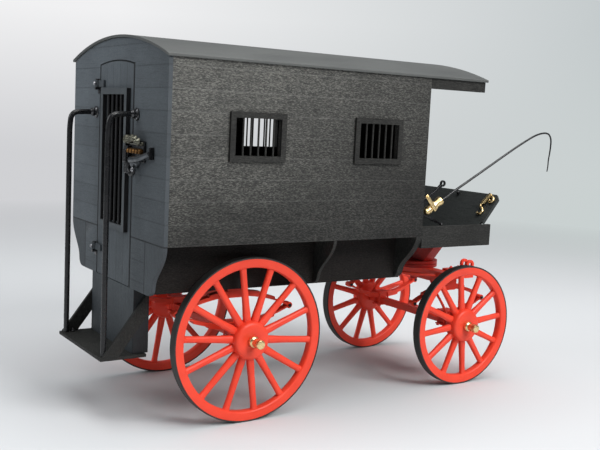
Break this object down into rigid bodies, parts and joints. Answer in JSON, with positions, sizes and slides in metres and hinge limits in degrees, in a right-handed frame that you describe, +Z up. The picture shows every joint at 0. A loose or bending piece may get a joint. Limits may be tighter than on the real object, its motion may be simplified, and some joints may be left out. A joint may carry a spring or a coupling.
{
  "type": "scale model of a horse-drawn jail wagon",
  "caption": "Wooden scale model of a closed jail wagon with barred windows, rear door and step, driver's bench under a canopy, and spoked wheels on a steering front gear.",
  "frame": {"origin": "on the ground, under the middle of the bounding box", "axes": "+X forward, from the rear step to the whip; +Y to the wagon's left; +Z up"},
  "size_m": [0.3324, 0.1504, 0.2298],
  "materials": {
    "black_wood": "matt black paint over open grain",
    "roof_canvas": "smooth matt grey-black paint",
    "black_iron": "semi-gloss black enamel",
    "brass": "polished",
    "red_paint": "semi-gloss orange-red enamel",
    "black_tyre": "matt black"
  },
  "bodies": {
    "wagon": {"side_panel_right": "black_wood", "side_panel_left": "black_wood", "window_grilles_right": "black_wood", "window_grilles_left": "black_wood", "rear_panel": "black_wood", "rear_wings": "black_wood", "mid_brackets": "black_wood", "front_brackets": "black_wood", "lower_side_boards": "black_wood", "cabin_floor": "black_wood", "bench_boards": "black_wood", "lower_front_board": "black_wood", "cabin_bulkhead": "black_wood", "roof": "roof_canvas", "canopy_header_rails": "black_wood", "canopy_front_bow": "black_wood", "driver_seat": "black_wood", "seat_riser": "black_wood", "toe_side_boards": "black_wood", "toe_floor": "black_wood", "dash_board": "black_wood", "dash_scrolls": "brass", "hinge_pintles": "black_iron", "lock_keeper": "black_iron", "step_box": "black_wood", "step_board": "black_wood", "step_braces": "black_wood", "grab_rail_right": "black_iron", "grab_rail_left": "black_iron", "whip_socket": "brass", "whip": "black_iron", "brake_lever": "black_iron", "rear_axle": "red_paint", "rear_axle_nuts": "brass", "rear_spring_right": "red_paint", "rear_spring_left": "red_paint", "body_bolster": "red_paint", "turntable_upper": "red_paint", "king_pin": "red_paint"},
    "door": {"rear_door": "black_wood", "door_grille": "black_iron", "door_straps": "black_iron", "door_latch": "black_iron"},
    "front_gear": {"turntable_lower": "red_paint", "gear_beam": "red_paint", "shaft_arms": "red_paint", "front_spring_right": "red_paint", "front_spring_left": "red_paint", "front_axle": "red_paint", "front_axle_nuts": "brass"},
    "rear_wheel_right": {"wheel_rear_right": "red_paint", "tyre_rear_right": "black_tyre"},
    "rear_wheel_left": {"wheel_rear_left": "red_paint", "tyre_rear_left": "black_tyre"},
    "front_wheel_right": {"wheel_front_right": "red_paint", "tyre_front_right": "black_tyre"},
    "front_wheel_left": {"wheel_front_left": "red_paint", "tyre_front_left": "black_tyre"}
  },
  "joints": [
    {"name": "steering", "type": "hinge", "parent": "wagon", "child": "front_gear", "pos_m": [0.09965, 0, 0.08], "axis": [0, 0, 1], "range_deg": [-40, 40]},
    {"name": "door_swing", "type": "hinge", "parent": "wagon", "child": "door", "pos_m": [-0.14715, 0.0279, 0.15], "axis": [0, 0, -1], "range_deg": [0, 90]},
    {"name": "rear_wheel_right_spin", "type": "hinge", "parent": "wagon", "child": "rear_wheel_right", "pos_m": [-0.08135, -0.0598, 0.0508], "axis": [0, 1, 0], "continuous": true},
    {"name": "rear_wheel_left_spin", "type": "hinge", "parent": "wagon", "child": "rear_wheel_left", "pos_m": [-0.08135, 0.0598, 0.0508], "axis": [0, 1, 0], "continuous": true},
    {"name": "front_wheel_right_spin", "type": "hinge", "parent": "front_gear", "child": "front_wheel_right", "pos_m": [0.09965, -0.0554, 0.0431], "axis": [0, 1, 0], "continuous": true},
    {"name": "front_wheel_left_spin", "type": "hinge", "parent": "front_gear", "child": "front_wheel_left", "pos_m": [0.09965, 0.0554, 0.0431], "axis": [0, 1, 0], "continuous": true}
  ]
}
